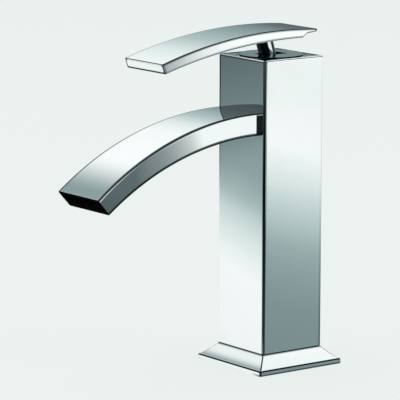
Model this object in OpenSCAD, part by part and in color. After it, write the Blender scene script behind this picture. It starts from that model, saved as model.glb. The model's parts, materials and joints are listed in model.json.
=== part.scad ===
// Basin mixer tap with a square column, an arched spout and a curved lever.
// Millimetres. The origin is the middle of the underside, where the tap stands
// on the basin. +Z is up, and the spout and the lever reach along -Y.

/* [Column] */
// Side of the square column
column_w = 45; // [44:0.5:56]
// Height of the column above the base plinth
column_h = 182.9; // [150:0.5:230]
// Wall round the column's hollow lower part
column_wall = 3; // [2:0.25:4]
// Rounding of the column's upright edges
column_edge = 1; // [0.4:0.1:2]
// Chamfer on the column's top and bottom edges
column_chamfer = 0.4; // [0.2:0.1:0.8]

/* [Base plinth] */
// Side of the square plinth
plinth_w = 64; // [58:0.5:80]
// Full height of the plinth
plinth_h = 10.8; // [8:0.2:16]
// Height of the plinth's upright rim
plinth_rim = 3.45; // [2:0.05:6]
// Depth of the hollow in the sloping skirt
cove_sag = 0.5; // [0.2:0.05:1.5]
// Rounding of the plinth's upright corners
plinth_edge = 1.2; // [0.5:0.1:3]
// Width of the rubber base seal
seal_w = 8; // [4:0.5:9]
// Distance from the plinth's side to the base seal
seal_margin = 3; // [2:0.25:4]
// Thickness of the rubber base seal
seal_t = 1.2; // [0.8:0.1:2]

/* [Inlets] */
// Wall radius of an M10 x 1 inlet thread
inlet_r = 4.5; // [4:0.1:5]
// Wall radius of the M8 thread for the fixing stud
stud_r = 3.4; // [2.5:0.1:4]
// Distance of the fixing stud behind the column's axis
stud_y = 9.5; // [9:0.5:11]
// Depth of the inlet and stud threads
thread_depth = 12; // [8:0.5:15]
// Radius of the foot block's round neck
foot_neck_r = 16; // [15:0.25:17]
// Height of the foot block inside the column
foot_h = 16; // [14:0.5:24]
// Outer radius of the copper risers
riser_r = 4; // [3.6:0.1:4.2]
// Wall of the copper risers
riser_wall = 1; // [0.6:0.1:1.4]
// Depth of the riser sockets
riser_seat = 5.2; // [4.6:0.1:5.4]

/* [Spout] */
// Height of the column's top above the spout's top
spout_drop = 32.1; // [31.5:0.5:60]
// Radius of the spout's upper arc
spout_r = 202.4; // [180:0.2:240]
// Thickness of the spout where it leaves the column
spout_root_t = 13.3; // [12.5:0.1:16]
// Shift of the lower arc's centre, which thins the spout towards its mouth
spout_taper = 3.1; // [0:0.1:4]
// Sweep of the upper arc in degrees
spout_sweep = 37.4; // [25:0.1:42]
// Lean of the spout's end face from upright in degrees
mouth_lean = 41.6; // [34:0.1:46]
// Distance from the column's side in to the spout's side
spout_inset = 5.4; // [4:0.1:7]
// Flare of each side of the spout towards its mouth
spout_flare = 2.55; // [0:0.05:5]
// Rim round the mouth
mouth_rim = 0.9; // [0.7:0.1:1.5]
// Depth of the outlet insert
insert_depth = 9; // [6:0.5:14]
// Width of one slot in the outlet insert
slot_w = 1.5; // [1:0.1:1.8]

/* [Lever] */
// Reach of the lever in front of the column's axis
lever_front = 97.1; // [70:0.5:120]
// Reach of the lever behind the column's axis
lever_back = 21.8; // [18:0.2:26]
// Height of the lever's crown above the column's top
lever_rise = 17.7; // [15:0.1:24]
// Thickness of the lever at its crown
lever_t = 5.9; // [4.5:0.1:8]
// Radius of the lever's upper arc
lever_r = 305; // [260:1:400]
// Added to that radius for the lever's flatter lower arc
lever_flatten = 25; // [0:1:40]
// Width of the lever at its back
lever_back_w = 36.5; // [32:0.5:44]
// Width of the lever at its tip
lever_tip_w = 39; // [34:0.5:48]
// Lean of the lever's tip face in degrees
lever_tip_lean = 14; // [4:0.5:24]
// Radius of the round neck under the lever
neck_r = 5.35; // [5:0.05:6]
// Lean of the neck towards the spout when the water is off, in degrees
neck_lean = 17; // [14:0.5:18]

/* [Cartridge] */
// Wall of the column round the cartridge nut
nut_wall = 2.6; // [2:0.1:3]
// Step from the cartridge out to the nut's thread
nut_step = 2.4; // [2:0.1:3]
// Depth of the lever's pivot below the column's top
pivot_depth = 8.7; // [8.5:0.1:9.5]
// Thickness of the round top disc
disc_t = 3; // [2:0.1:3.2]
// Margin between the top disc and the column's faces
disc_margin = 1.2; // [1:0.1:1.6]
// Length of the top disc's slot along the lever
disc_slot_l = 18; // [17.4:0.1:19]
// Height of the cartridge nut
nut_h = 6.2; // [4:0.1:7]
// Width of the square lever spindle
spindle_w = 5.4; // [4.6:0.1:5.8]
// Distance of the spindle's ball below the pivot
ball_arm = 9.4; // [9.3:0.05:9.5]
// Radius of the spindle's ball
ball_r = 2.4; // [2:0.05:2.5]
// Radius of the lever's pivot pin
pin_r = 1.5; // [1:0.1:1.7]
// Thickness of the fixed ceramic disc
fixed_disc_t = 3.5; // [2.5:0.1:4.5]
// Thickness of the moving ceramic disc
moving_disc_t = 3.45; // [3:0.05:4]

/* [Hidden] */
$fn = 96;

// Clearances, the least wall between two bores and the overrun of every cut
cut = 1;
land = 1;
slip = 0.1;
snug = 0.02;
run = 0.05;
gap = 0.2;
seal_room = 0.1;

// Heights, worked down from the column's top
column_top = plinth_h + column_h;
disc_z = column_top - disc_t;
ledge_z = disc_z - gap;
nut_top = disc_z - 2.5 * gap;
housing_top = nut_top - nut_h;
roof_t = 3;
carrier_t = 5;
flange_t = 2.7;
cavity_h = fixed_disc_t + run + moving_disc_t + carrier_t + gap + flange_t + slip;
base_top = housing_top - roof_t - cavity_h;
base_t = 3;
seat_z = base_top - base_t;
thread_z = housing_top - roof_t / 2;
fixed_top = base_top + fixed_disc_t;
moving_z = fixed_top + run;
moving_top = moving_z + moving_disc_t;
carrier_top = moving_top + carrier_t;
flange_z = carrier_top + gap;
flange_top = flange_z + flange_t;
pivot_z = column_top - pivot_depth;

// Radii of the cartridge and of what holds it
nut_r = column_w / 2 - nut_wall;
cartridge_r = nut_r - nut_step;
bore_r = cartridge_r + gap;
disc_r = column_w / 2 - disc_margin;
housing_wall = 2;
cavity_r = cartridge_r - housing_wall;
plate_r = cavity_r - 1.5 * gap;
base_r = cartridge_r - slip;
turret_share = 219 / 350;
turret_r = cartridge_r * turret_share;
turret_hole_r = turret_r + run;
nut_hole_r = turret_r + 6 * gap;

// Places of the two inlets and the outlet under the cartridge
inlet_x_share = 3 / 7;
inlet_y_share = 8 / 35;
outlet_y_share = 16 / 35;
water_x = cartridge_r * inlet_x_share;
water_y = cartridge_r * inlet_y_share;
outlet_y = cartridge_r * outlet_y_share;

// Column and foot
cavity_w = column_w - 2 * column_wall;
block_w = cavity_w - 2 * slip;
face_y = -column_w / 2;
socket_r = riser_r + run;
foot_top = plinth_h + foot_h;
foot_socket_z = foot_top - riser_seat;
channel_r = riser_r - riser_wall;

// Screws that hold the plinth to the foot block
screw_r = 1.5;
screw_head_r = 3;
screw_head_h = 1.6;
screw_sink = 0.3;
screw_l = 18;
screw_place = (foot_neck_r + 2 * screw_r + 2 * gap) * cos(45);

// O-rings
ring_t = 1.1;
ring_groove_h = ring_t + 4 * seal_room;
ring_step = 2.6;

// Spout
spout_root_w = column_w - 2 * spout_inset;
spout_tip_w = spout_root_w + 2 * spout_flare;
spout_top = column_top - spout_drop;
spout_arc_z = spout_top - spout_r;
spout_under_r = spout_r - spout_root_t - spout_taper;
under_arc_y = face_y - spout_taper;
under_arc_z = spout_arc_z + spout_taper;
tip_y = face_y - spout_r * sin(spout_sweep);
tip_z = spout_arc_z + spout_r * cos(spout_sweep);
end_reach = 2 * spout_root_t;
spout_wall = 3;
duct_w = 18;
spigot_r = 6;
spigot_bore_r = water_x - channel_r - land;
spigot_l = column_wall + spigot_r;
spigot_z = spout_top - spout_root_t / 2;
mouth_sink = 0.4;
slot_pitch = 2.7;
plenum = 2;

// Manifold
manifold_h = 18;
manifold_z = seat_z - manifold_h;
riser_top = manifold_z + riser_seat;
riser_l = riser_top - foot_socket_z;
spigot_socket_y = face_y + spigot_l + slip;

// Cartridge inside
port_r = channel_r;
outlet_r = spigot_bore_r;
port_ring_in = 0.4;
port_ring_w = 1.6;
port_ring_t = 0.9;
peg_r = 1.4;
peg_l = 3;
peg_x_share = 0.75;
peg_y_share = 0.35;
peg_x = cartridge_r * peg_x_share;
peg_y = cartridge_r * peg_y_share;
shift_y = ball_arm * sin(neck_lean);
moving_r = plate_r - shift_y - 2 * gap;
carrier_r = moving_r - gap;
chamber_share = 0.8;
chamber_back_share = 0.6;
chamber_r = moving_r * chamber_share;
chamber_back = moving_r * chamber_back_share;
chamber_front = shift_y + water_y - port_r - 3 * gap;
chamber_t = 1.8;
rail_w = 2;
rail_h = 1;
rail_share = 0.7;
rail_l = moving_r;
rail_x = moving_r * rail_share;
rail_room = rail_l / 2 + shift_y + 2 * gap;
pocket_w = 2 * (ball_r + slip);

// Turret, spindle and neck, measured along the leaning axis from the pivot
disc_seat = 0.6;
turret_slot_w = spindle_w + 2 * gap;
turret_slot_l = 2 * ((pivot_depth - disc_t) * tan(neck_lean) + spindle_w / 2 / cos(neck_lean) + 2 * gap);
pin_l = 2 * (turret_r - land);
shank_r = ball_r * 2 / 3;
shank_top = 5.5;
spindle_top = 17.5;
neck_bottom = pivot_depth - disc_t + disc_seat + neck_r * tan(neck_lean) + 3 * gap;
neck_top = 23.5;
pocket_top = spindle_top + 2 * gap;
grub_z = 13;
grub_r = 2;
grub_l = 2;
hex_share = 0.55;
disc_slot_w = 2 * neck_r + 4.5 * gap;
turret_ring_t = 1.25;
turret_ring_z = (flange_top + housing_top) / 2;

// Lever arcs
lever_top = column_top + lever_rise;
lever_bottom = lever_top - lever_t;
lever_under_r = lever_r + lever_flatten;
crown_y = -5;
under_crown_y = -2;
lever_tip_z = lever_top - lever_r + sqrt(pow(lever_r, 2) - pow(lever_front + crown_y, 2));
notch_l = 7.9;
notch_h = 2.1;
notch_slope = 35;
notch_y = lever_back - notch_l;
notch_z = lever_bottom + notch_h;
lip_h = 3;
lip_z = lever_bottom + lip_h;
lip_out = 0.4;

// Colours as the tap shows them
chrome = [0.78, 0.82, 0.82];
brass = [0.80, 0.66, 0.36];
copper = [0.78, 0.48, 0.34];
steel = [0.66, 0.68, 0.70];
rubber = [0.12, 0.12, 0.12];
plastic = [0.90, 0.90, 0.87];
ceramic = [0.95, 0.94, 0.90];
black = [0.05, 0.05, 0.05];

// An outline in the YZ plane made w thick along X
module side_extrude(w) {
    rotate([90, 0, 90]) linear_extrude(w, center = true) children();
}

// An outline in the XZ plane made d thick along Y
module front_extrude(d) {
    rotate([90, 0, 0]) linear_extrude(d, center = true) children();
}

// A square of side w whose corners have radius r
module rounded_square(w, r) {
    square([w - 2 * r, w], center = true);
    square([w, w - 2 * r], center = true);
    for (sx = [-1, 1], sy = [-1, 1])
        translate([sx * (w / 2 - r), sy * (w / 2 - r)]) circle(r);
}

// A round rod between two heights
module rod(r, z0, z1) {
    translate([0, 0, z0]) cylinder(r = r, h = z1 - z0);
}

// A square block between two heights
module block(w, z0, z1) {
    translate([-w / 2, -w / 2, z0]) cube([w, w, z1 - z0]);
}

// An O-ring of round section that closes on a shaft of radius r
module o_ring(r, t) {
    rotate_extrude() translate([r + snug + t / 2, 0]) circle(d = t);
}

// The groove that an O-ring on a shaft of radius r lies in
module ring_groove(r, t) {
    translate([0, 0, -ring_groove_h / 2]) cylinder(r = r + t + seal_room, h = ring_groove_h);
}

// Both inlets, to the left and right of the middle plane
module each_inlet() {
    for (s = [-1, 1]) translate([s * water_x, -water_y, 0]) children();
}

// Both inlets and the outlet of the cartridge
module each_port(inlet, outlet) {
    each_inlet() rod(inlet, seat_z - manifold_h, carrier_top);
    translate([0, outlet_y, 0]) rod(outlet, seat_z - manifold_h, carrier_top);
}

// What stands on the lever's leaning axis, with the pivot as its origin
module at_pivot() {
    translate([0, 0, pivot_z]) rotate([neck_lean, 0, 0]) children();
}

// Column

module column_profile() {
    c = column_chamfer;
    polygon([
        [-column_w / 2 + c, plinth_h], [column_w / 2 - c, plinth_h],
        [column_w / 2, plinth_h + c], [column_w / 2, column_top - c],
        [column_w / 2 - c, column_top], [-column_w / 2 + c, column_top],
        [-column_w / 2, column_top - c], [-column_w / 2, plinth_h + c]
    ]);
}

module column() {
    color(chrome) difference() {
        intersection() {
            translate([0, 0, plinth_h]) linear_extrude(column_h) rounded_square(column_w, column_edge);
            front_extrude(column_w + cut) column_profile();
            side_extrude(column_w + cut) column_profile();
        }
        block(cavity_w, plinth_h - cut, seat_z);
        rod(bore_r, seat_z - cut, column_top);
        rod(nut_r + slip, thread_z, column_top);
        rod(disc_r + gap, ledge_z, column_top + cut);
        translate([0, face_y, spigot_z]) rotate([90, 0, 0])
            cylinder(r = spigot_r + slip, h = 2 * column_wall + cut, center = true);
    }
}

// Base plinth and foot

module plinth_profile() {
    run_out = (plinth_w - column_w) / 2;
    climb = plinth_h - plinth_rim;
    chord = norm([run_out, climb]);
    cove_r = pow(chord, 2) / (8 * cove_sag) + cove_sag / 2;
    cove_x = (plinth_w + column_w) / 4 + (cove_r - cove_sag) * climb / chord;
    cove_z = (plinth_h + plinth_rim) / 2 + (cove_r - cove_sag) * run_out / chord;
    difference() {
        translate([-plinth_w / 2, 0]) square([plinth_w, plinth_h]);
        for (s = [-1, 1]) translate([s * cove_x, cove_z]) circle(cove_r, $fn = 4 * $fn);
    }
}

module each_screw() {
    for (sx = [-1, 1], sy = [-1, 1])
        translate([sx * screw_place, sy * screw_place, screw_sink]) children();
}

module seal_outline(spare) {
    outer_w = plinth_w - 2 * seal_margin;
    difference() {
        square(outer_w + 2 * spare, center = true);
        square(outer_w - 2 * seal_w - 2 * spare, center = true);
    }
}

module base_plinth() {
    color(chrome) difference() {
        intersection() {
            linear_extrude(plinth_h) rounded_square(plinth_w, plinth_edge);
            front_extrude(plinth_w + cut) plinth_profile();
            side_extrude(plinth_w + cut) plinth_profile();
        }
        rod(foot_neck_r + gap, -cut, plinth_h + cut);
        translate([0, 0, -cut]) linear_extrude(seal_t + cut) seal_outline(slip);
        each_screw() {
            cylinder(r = screw_r + gap, h = plinth_h);
            cylinder(r1 = screw_head_r + slip, r2 = screw_r + slip, h = screw_head_h);
            translate([0, 0, -cut]) cylinder(r = screw_head_r + slip, h = cut);
        }
    }
}

module base_seal() {
    color(rubber) linear_extrude(seal_t) seal_outline(0);
}

module plinth_screws() {
    color(steel) each_screw() difference() {
        union() {
            cylinder(r = screw_r, h = screw_l);
            cylinder(r1 = screw_head_r, r2 = screw_r, h = screw_head_h);
        }
        translate([0, 0, -cut])
            cylinder(r = screw_r * hex_share, h = cut + screw_head_h / 2, $fn = 6);
    }
}

module foot_block() {
    color(brass) difference() {
        union() {
            block(block_w, plinth_h, foot_top);
            rod(foot_neck_r, 0, plinth_h);
        }
        each_inlet() {
            rod(inlet_r, -cut, thread_depth);
            rod(channel_r, 0, foot_top);
            rod(socket_r, foot_socket_z, foot_top + cut);
            translate([0, 0, foot_top - ring_step]) ring_groove(riser_r, ring_t);
        }
        translate([0, stud_y, 0]) rod(stud_r, -cut, thread_depth);
        each_screw() cylinder(r = screw_r + snug, h = screw_l + cut);
    }
}

// Waterways inside the column

module riser() {
    translate([water_x, -water_y, foot_socket_z]) difference() {
        cylinder(r = riser_r, h = riser_l);
        translate([0, 0, -cut]) cylinder(r = channel_r, h = riser_l + 2 * cut);
    }
}

module hot_riser() {
    color(copper) mirror([1, 0, 0]) riser();
}

module cold_riser() {
    color(copper) riser();
}

module riser_seals() {
    color(rubber) each_inlet() {
        translate([0, 0, foot_top - ring_step]) o_ring(riser_r, ring_t);
        translate([0, 0, manifold_z + ring_step]) o_ring(riser_r, ring_t);
    }
}

module manifold() {
    color(brass) difference() {
        block(block_w, manifold_z, seat_z);
        each_inlet() {
            rod(channel_r, manifold_z, seat_z + cut);
            rod(socket_r, manifold_z - cut, riser_top);
            translate([0, 0, manifold_z + ring_step]) ring_groove(riser_r, ring_t);
        }
        translate([0, outlet_y, 0]) rod(outlet_r, spigot_z, seat_z + cut);
        translate([0, outlet_y, spigot_z]) sphere(outlet_r);
        translate([0, outlet_y, spigot_z]) rotate([90, 0, 0])
            cylinder(r = outlet_r, h = outlet_y + column_w / 2);
        translate([0, spigot_socket_y, spigot_z]) rotate([90, 0, 0])
            cylinder(r = spigot_r + run, h = spigot_l);
        translate([0, spigot_socket_y - ring_step, spigot_z]) rotate([90, 0, 0])
            ring_groove(spigot_r, ring_t);
        for (s = [-1, 1]) translate([s * peg_x, peg_y, 0]) rod(peg_r + slip, seat_z - peg_l - slip, seat_z + cut);
    }
}

// Spout

// The arched outline, drawn in by an inset and cut back from the end face
module spout_side(inset, back) {
    along = [sin(mouth_lean), -cos(mouth_lean)];
    tip = [tip_y, tip_z] + back * [cos(mouth_lean), sin(mouth_lean)];
    high = tip - end_reach * along;
    low = tip + end_reach * along;
    intersection() {
        difference() {
            translate([face_y, spout_arc_z]) circle(spout_r - inset, $fn = 4 * $fn);
            translate([under_arc_y, under_arc_z]) circle(spout_under_r + inset, $fn = 4 * $fn);
        }
        polygon([[face_y, low[1]], [face_y, spout_top + cut], [high[0], spout_top + cut], high, low]);
    }
}

// The spout's flared outline from above
module spout_plan(inset) {
    far = tip_y - cut;
    flare = (spout_tip_w - spout_root_w) / 2 * (face_y - far) / (face_y - tip_y);
    root = spout_root_w / 2 - inset;
    polygon([[-root, face_y], [root, face_y], [root + flare, far], [-root - flare, far]]);
}

module spout_body(inset, back) {
    intersection() {
        side_extrude(2 * spout_tip_w) spout_side(inset, back);
        linear_extrude(2 * column_top, center = true) spout_plan(inset);
    }
}

// All that lies more than a given depth behind the spout's end face
module behind_mouth(depth) {
    side_extrude(2 * spout_tip_w) spout_side(-spout_wall, depth);
}

module spout() {
    color(chrome) difference() {
        union() {
            spout_body(0, 0);
            translate([0, face_y + spigot_l, spigot_z]) rotate([90, 0, 0])
                cylinder(r = spigot_r, h = spigot_l + cut);
        }
        translate([0, face_y + spigot_l + cut, spigot_z]) rotate([90, 0, 0])
            cylinder(r = spigot_bore_r, h = spigot_l + spigot_r + cut);
        difference() {
            side_extrude(duct_w) spout_side(spout_wall, insert_depth);
            translate([-duct_w, face_y - spout_wall, 0]) cube([2 * duct_w, column_w, column_top]);
        }
        difference() {
            spout_body(mouth_rim, -cut);
            behind_mouth(insert_depth + plenum);
        }
    }
}

module spout_seal() {
    color(rubber) translate([0, spigot_socket_y - ring_step, spigot_z]) rotate([90, 0, 0])
        o_ring(spigot_r, ring_t);
}

module outlet_insert() {
    slots = floor((spout_tip_w / 2 - 2 * slot_pitch) / slot_pitch);
    slot_h = spout_root_t - 3 * spout_wall;
    middle = [tip_y, tip_z] + spout_root_t / 2 * [sin(mouth_lean), -cos(mouth_lean)];
    color(black) difference() {
        spout_body(mouth_rim + slip, mouth_sink);
        behind_mouth(insert_depth);
        translate([0, middle[0], middle[1]]) rotate([mouth_lean, 0, 0])
            for (i = [-slots:slots]) translate([i * slot_pitch, 0, 0])
                cube([slot_w, 4 * insert_depth, slot_h], center = true);
    }
}

// Fixed pieces of the cartridge

module each_port_ring(spare) {
    for (p = [[-water_x, -water_y, port_r], [water_x, -water_y, port_r], [0, outlet_y, outlet_r]])
        translate([p[0], p[1], 0]) difference() {
            cylinder(r = p[2] + port_ring_in + port_ring_w + spare, h = port_ring_t);
            translate([0, 0, -cut])
                cylinder(r = p[2] + port_ring_in - spare, h = port_ring_t + 2 * cut);
        }
}

module cartridge_base() {
    color(plastic) difference() {
        union() {
            rod(base_r, seat_z, base_top);
            for (s = [-1, 1]) translate([s * peg_x, peg_y, 0]) rod(peg_r, seat_z - peg_l, seat_z + cut);
        }
        each_port(port_r, outlet_r);
        translate([0, 0, seat_z]) each_port_ring(snug);
        translate([0, 0, base_top - port_ring_t]) each_port_ring(snug);
    }
}

module cartridge_seals() {
    color(rubber) {
        translate([0, 0, seat_z]) each_port_ring(0);
        translate([0, 0, base_top - port_ring_t]) each_port_ring(0);
    }
}

module fixed_disc() {
    color(ceramic) difference() {
        rod(plate_r, base_top, fixed_top);
        each_port(port_r, outlet_r);
    }
}

module cartridge_housing() {
    color(plastic) difference() {
        rod(cartridge_r, base_top, housing_top);
        rod(cavity_r, base_top - cut, housing_top - roof_t);
        rod(turret_hole_r, base_top, housing_top + cut);
    }
}

module cartridge_nut() {
    key_w = 4;
    color(brass) difference() {
        rod(nut_r, housing_top, nut_top);
        rod(nut_hole_r, housing_top - cut, nut_top + cut);
        for (a = [0, 90]) rotate([0, 0, a])
            translate([-column_w / 2, -key_w / 2, nut_top - nut_h / 3]) cube([column_w, key_w, nut_h]);
    }
}

// Pieces that slide when the lever lifts

module moving_disc() {
    color(ceramic) translate([0, shift_y, 0]) difference() {
        rod(moving_r, moving_z, moving_top);
        intersection() {
            rod(chamber_r, moving_z - cut, moving_z + chamber_t);
            translate([-column_w, -chamber_front, 0])
                cube([2 * column_w, chamber_front + chamber_back, column_top]);
        }
    }
}

module disc_carrier() {
    color(plastic) translate([0, shift_y, 0]) difference() {
        union() {
            rod(carrier_r, moving_top, carrier_top);
            for (s = [-1, 1]) translate([s * rail_x - rail_w / 2, -rail_l / 2, carrier_top - cut])
                cube([rail_w, rail_l, rail_h + cut]);
        }
        block(pocket_w, moving_top - cut, carrier_top + cut);
    }
}

// Pieces that turn with the lever

module turret() {
    color(plastic) difference() {
        union() {
            rod(plate_r, flange_z, flange_top);
            rod(turret_r, flange_z, disc_z + disc_seat);
        }
        translate([-turret_slot_w / 2, -turret_slot_l / 2, flange_z - cut])
            cube([turret_slot_w, turret_slot_l, disc_z - flange_z + 2 * cut]);
        for (s = [-1, 1])
            translate([s * rail_x - rail_w / 2 - gap, -rail_room, flange_z - cut])
                cube([rail_w + 2 * gap, 2 * rail_room, rail_h + cut]);
        translate([0, 0, pivot_z]) rotate([0, 90, 0])
            cylinder(r = pin_r + snug, h = column_w, center = true);
        translate([0, 0, turret_ring_z - ring_groove_h / 2]) difference() {
            cylinder(r = turret_r + cut, h = ring_groove_h);
            translate([0, 0, -cut])
                cylinder(r = turret_r - turret_ring_t - snug, h = ring_groove_h + 2 * cut);
        }
    }
}

module turret_seal() {
    color(rubber) translate([0, 0, turret_ring_z]) o_ring(turret_r - turret_ring_t - snug, turret_ring_t);
}

module spindle_pin() {
    color(steel) translate([0, 0, pivot_z]) rotate([0, 90, 0])
        cylinder(r = pin_r, h = pin_l, center = true);
}

module top_disc() {
    color(chrome) difference() {
        rod(disc_r, disc_z, column_top);
        rod(turret_r + snug, disc_z - cut, disc_z + disc_seat);
        translate([-disc_slot_w / 2, -disc_slot_l / 2, disc_z - cut])
            cube([disc_slot_w, disc_slot_l, disc_t + 2 * cut]);
    }
}

// Lever and what it carries

module spindle() {
    color(steel) at_pivot() difference() {
        union() {
            translate([0, 0, -ball_arm]) sphere(ball_r);
            rod(shank_r, -ball_arm, -shank_top + cut);
            block(spindle_w, -shank_top, spindle_top);
        }
        rotate([0, 90, 0]) cylinder(r = pin_r + run, h = 2 * spindle_w, center = true);
    }
}

module lever_side() {
    tip_run = 3 * lever_t;
    lean = [sin(lever_tip_lean), -cos(lever_tip_lean)];
    tip = [-lever_front, lever_tip_z];
    low = tip + tip_run * lean;
    high = tip - tip_run * lean;
    notch = [notch_y, notch_z] - tip_run * [cos(notch_slope), sin(notch_slope)];
    intersection() {
        difference() {
            translate([crown_y, lever_top - lever_r]) circle(lever_r, $fn = 4 * $fn);
            translate([under_crown_y, lever_bottom - lever_under_r])
                circle(lever_under_r, $fn = 4 * $fn);
        }
        polygon([low, high, [high[0], lever_top + cut], [lever_back, lever_top + cut],
            [lever_back + lip_out, lip_z], [notch_y, notch_z], notch]);
    }
}

module lever_plan() {
    far = -lever_front - cut;
    near = lever_back + lip_out;
    polygon([[-lever_back_w / 2, near], [lever_back_w / 2, near],
        [lever_tip_w / 2, far], [-lever_tip_w / 2, far]]);
}

module lever() {
    color(chrome) difference() {
        union() {
            intersection() {
                side_extrude(2 * lever_tip_w) lever_side();
                linear_extrude(2 * lever_top) lever_plan();
            }
            at_pivot() rod(neck_r, neck_bottom, neck_top);
        }
        at_pivot() {
            block(spindle_w + 2 * run, neck_bottom - cut, pocket_top);
            translate([0, 0, grub_z]) rotate([-90, 0, 0]) cylinder(r = grub_r + snug, h = neck_r + cut);
        }
    }
}

module grub_screw() {
    color(steel) at_pivot() translate([0, spindle_w / 2 + run, grub_z]) rotate([-90, 0, 0])
        difference() {
            cylinder(r = grub_r, h = grub_l);
            translate([0, 0, grub_l / 2]) cylinder(r = grub_r * hex_share, h = grub_l, $fn = 6);
        }
}

column();
base_plinth();
base_seal();
plinth_screws();
foot_block();
hot_riser();
cold_riser();
riser_seals();
manifold();
spout();
spout_seal();
outlet_insert();
cartridge_base();
cartridge_seals();
fixed_disc();
cartridge_housing();
cartridge_nut();
moving_disc();
disc_carrier();
turret();
turret_seal();
spindle_pin();
top_disc();
spindle();
lever();
grub_screw();
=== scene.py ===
import bpy
import bmesh
import json
from math import asin, atan2, copysign, cos, degrees, hypot, pi, radians, sin, sqrt, tan
from mathutils import Matrix, Quaternion, Vector


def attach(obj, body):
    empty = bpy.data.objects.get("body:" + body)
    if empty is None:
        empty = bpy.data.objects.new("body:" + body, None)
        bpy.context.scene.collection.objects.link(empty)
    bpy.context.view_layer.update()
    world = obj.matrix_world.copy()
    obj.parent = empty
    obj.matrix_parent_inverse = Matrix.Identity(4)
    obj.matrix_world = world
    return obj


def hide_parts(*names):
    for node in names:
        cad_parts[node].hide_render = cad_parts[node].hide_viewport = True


# Looks of a basin mixer tap. The shapes are written in millimetres, Blender works in metres.
mm = 0.001
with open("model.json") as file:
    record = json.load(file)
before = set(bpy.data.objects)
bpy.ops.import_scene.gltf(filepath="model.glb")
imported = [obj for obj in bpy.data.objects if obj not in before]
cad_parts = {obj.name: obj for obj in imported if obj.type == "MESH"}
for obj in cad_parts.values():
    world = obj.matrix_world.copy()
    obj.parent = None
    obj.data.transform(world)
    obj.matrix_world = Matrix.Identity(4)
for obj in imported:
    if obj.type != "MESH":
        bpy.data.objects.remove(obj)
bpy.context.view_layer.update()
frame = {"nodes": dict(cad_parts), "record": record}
bodies = {"still": "tap_body", "turning": "turret", "tilting": "lever"}

camera = {"place": (1.468197, -1.156795, 0.436111), "azimuth": 53.103, "elevation": 10.123,
          "roll": 0.151, "lens": 274.42, "sensor": 36.0, "near": 0.05, "far": 60.0}


def placeObject(name, data):
    obj = bpy.data.objects.new(name, data)
    bpy.context.scene.collection.objects.link(obj)
    return obj


def setCamera():
    data = bpy.data.cameras.new("photoCamera")
    data.lens = camera["lens"]
    data.sensor_width = camera["sensor"]
    data.clip_start, data.clip_end = camera["near"], camera["far"]
    obj = placeObject("photoCamera", data)
    az, el = radians(camera["azimuth"]), radians(camera["elevation"])
    back = Vector((sin(az) * cos(el), -cos(az) * cos(el), sin(el)))
    roll = Quaternion((0, 0, 1), radians(camera["roll"]))
    obj.rotation_mode = "QUATERNION"
    obj.rotation_quaternion = (-back).to_track_quat("-Z", "Y") @ roll
    obj.location = camera["place"]
    bpy.context.scene.camera = obj


setCamera()
bpy.context.scene.view_settings.view_transform = "Standard"
print("camera set")


# Node helpers
def addNode(tree, kind, **values):
    node = tree.nodes.new(kind)
    for key, value in values.items():
        setattr(node, key, value)
    return node


def plug(tree, value, socket):
    if isinstance(value, bpy.types.NodeSocket):
        tree.links.new(value, socket)
    else:
        socket.default_value = value


def calc(tree, operation, a, b=None, c=None):
    node = addNode(tree, "ShaderNodeMath", operation=operation)
    for i, value in enumerate((a, b, c)):
        if value is not None:
            plug(tree, value, node.inputs[i])
    return node.outputs[0]


def times(tree, a, b):
    return calc(tree, "MULTIPLY", a, b)


def between(tree, value, low, high, toLow=0.0, toHigh=1.0):
    node = addNode(tree, "ShaderNodeMapRange", interpolation_type="SMOOTHSTEP")
    for socket, v in zip(node.inputs, (value, low, high, toLow, toHigh)):
        plug(tree, v, socket)
    return node.outputs[0]


def bandOf(tree, value, a, b, c, d):
    # rises from 0 to 1 between a and b, and falls back to 0 between c and d
    return times(tree, between(tree, value, a, b), between(tree, value, c, d, 1.0, 0.0))


def ramp(tree, value, stops):
    node = addNode(tree, "ShaderNodeValToRGB")
    points = node.color_ramp.elements
    while len(points) < len(stops):
        points.new(0.5)
    for point, (place, colour) in zip(points, stops):
        point.position = place
        point.color = (*colour, 1)
    plug(tree, value, node.inputs[0])
    return node.outputs[0]


def mixColour(tree, share, a, b):
    node = addNode(tree, "ShaderNodeMix", data_type="RGBA")
    plug(tree, share, node.inputs[0])
    plug(tree, a if isinstance(a, bpy.types.NodeSocket) else (*a, 1), node.inputs[6])
    plug(tree, b if isinstance(b, bpy.types.NodeSocket) else (*b, 1), node.inputs[7])
    return node.outputs[2]


def split(tree, place):
    parts = addNode(tree, "ShaderNodeSeparateXYZ")
    plug(tree, place, parts.inputs[0])
    return parts.outputs


def lengthOf(tree, x, y):
    return calc(tree, "SQRT", calc(tree, "ADD", times(tree, x, x), times(tree, y, y)))


def alongWay(tree, x, y, way):
    return calc(tree, "ADD", times(tree, x, way[0]), times(tree, y, way[1]))


def bearingOf(tree, x, y):
    # in degrees, from X towards Y
    turn = times(tree, calc(tree, "ARCTAN2", y, x), 180 / pi)
    return calc(tree, "MODULO", calc(tree, "ADD", turn, 360.0), 360.0)


# The studio. Polished metal shows nothing but its surroundings, so what the metal sees of the
# floor and the room is laid out like soft boxes and flags round a product table.
studio = {"backdrop": (0.831, 0.879, 0.863), "floorHalf": 7.0, "shadowShare": 0.12, "floorDim": 0.75,
          "roomColour": (0.97, 1.0, 1.0), "roomLight": 0.80, "lampAim": (0, -0.03, 0.09)}

# greys of the surroundings, as (tone, gain, tint): the dark ones lean to a cool green
tints = ((0.0, 1.36, (0.72, 1.0, 1.06)), (0.22, 1.36, (0.74, 1.0, 1.02)), (0.45, 1.34, (0.80, 1.0, 0.99)),
         (0.70, 1.26, (0.88, 1.0, 0.98)), (0.90, 1.14, (0.95, 1.0, 0.99)), (1.2, 1.06, (0.96, 1.0, 0.99)))


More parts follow.
